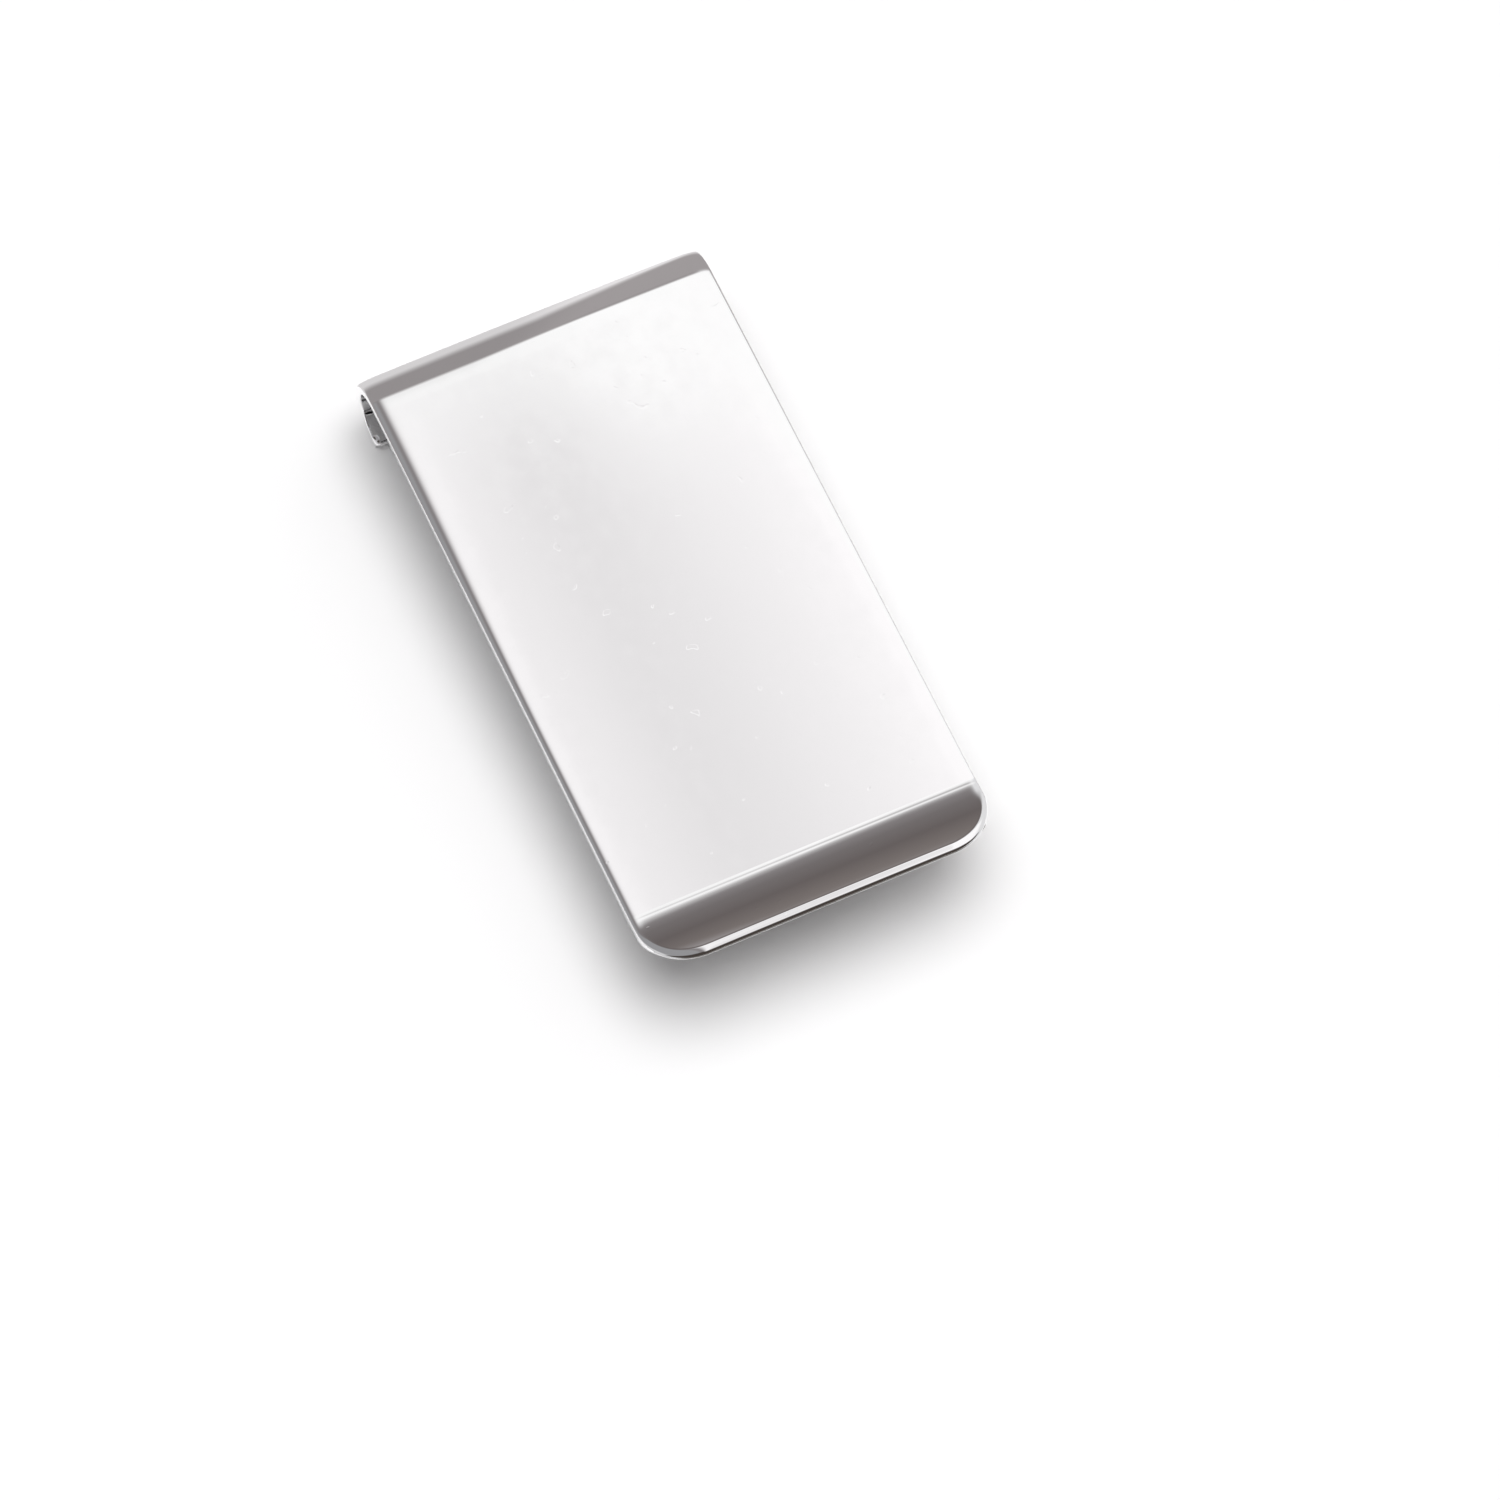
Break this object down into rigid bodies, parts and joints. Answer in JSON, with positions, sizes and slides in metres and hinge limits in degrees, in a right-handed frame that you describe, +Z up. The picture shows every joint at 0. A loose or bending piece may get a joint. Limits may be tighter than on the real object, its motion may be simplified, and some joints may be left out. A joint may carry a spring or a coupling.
{
  "type": "money clip",
  "caption": "Slim rectangular money clip: a polished cover folded at one end and flared at the other, closed on a sprung leaf that grips banknotes.",
  "frame": {"origin": "centre of the footprint, on the surface that the clip lies on", "axes": "+Y along the clip towards its folded end, +Z up through the flat front face, X across the clip"},
  "size_m": [0.0254, 0.0508, 0.0075],
  "materials": {
    "polished_strip": "mirror polished",
    "plated_steel": "bright plated",
    "spring_wire": "drawn wire",
    "brass": "turned"
  },
  "bodies": {
    "clamp": {"clamp_leaf": "plated_steel", "torsion_spring_left": "spring_wire", "torsion_spring_right": "spring_wire"},
    "front": {"front_cover": "polished_strip", "hinge_cradle": "plated_steel", "hinge_pin": "plated_steel", "thrust_washer_left": "brass", "thrust_washer_right": "brass", "spacer_sleeve": "brass"}
  },
  "joints": [
    {"name": "cover_hinge", "type": "hinge", "parent": "clamp", "child": "front", "pos_m": [0, 0.0222, 0.0029], "axis": [-1, 0, 0], "range_deg": [0, 50], "stiffness_Nm_per_rad": 0.035, "springref_deg": -51.57, "deforming": ["torsion_spring_left", "torsion_spring_right"]}
  ]
}
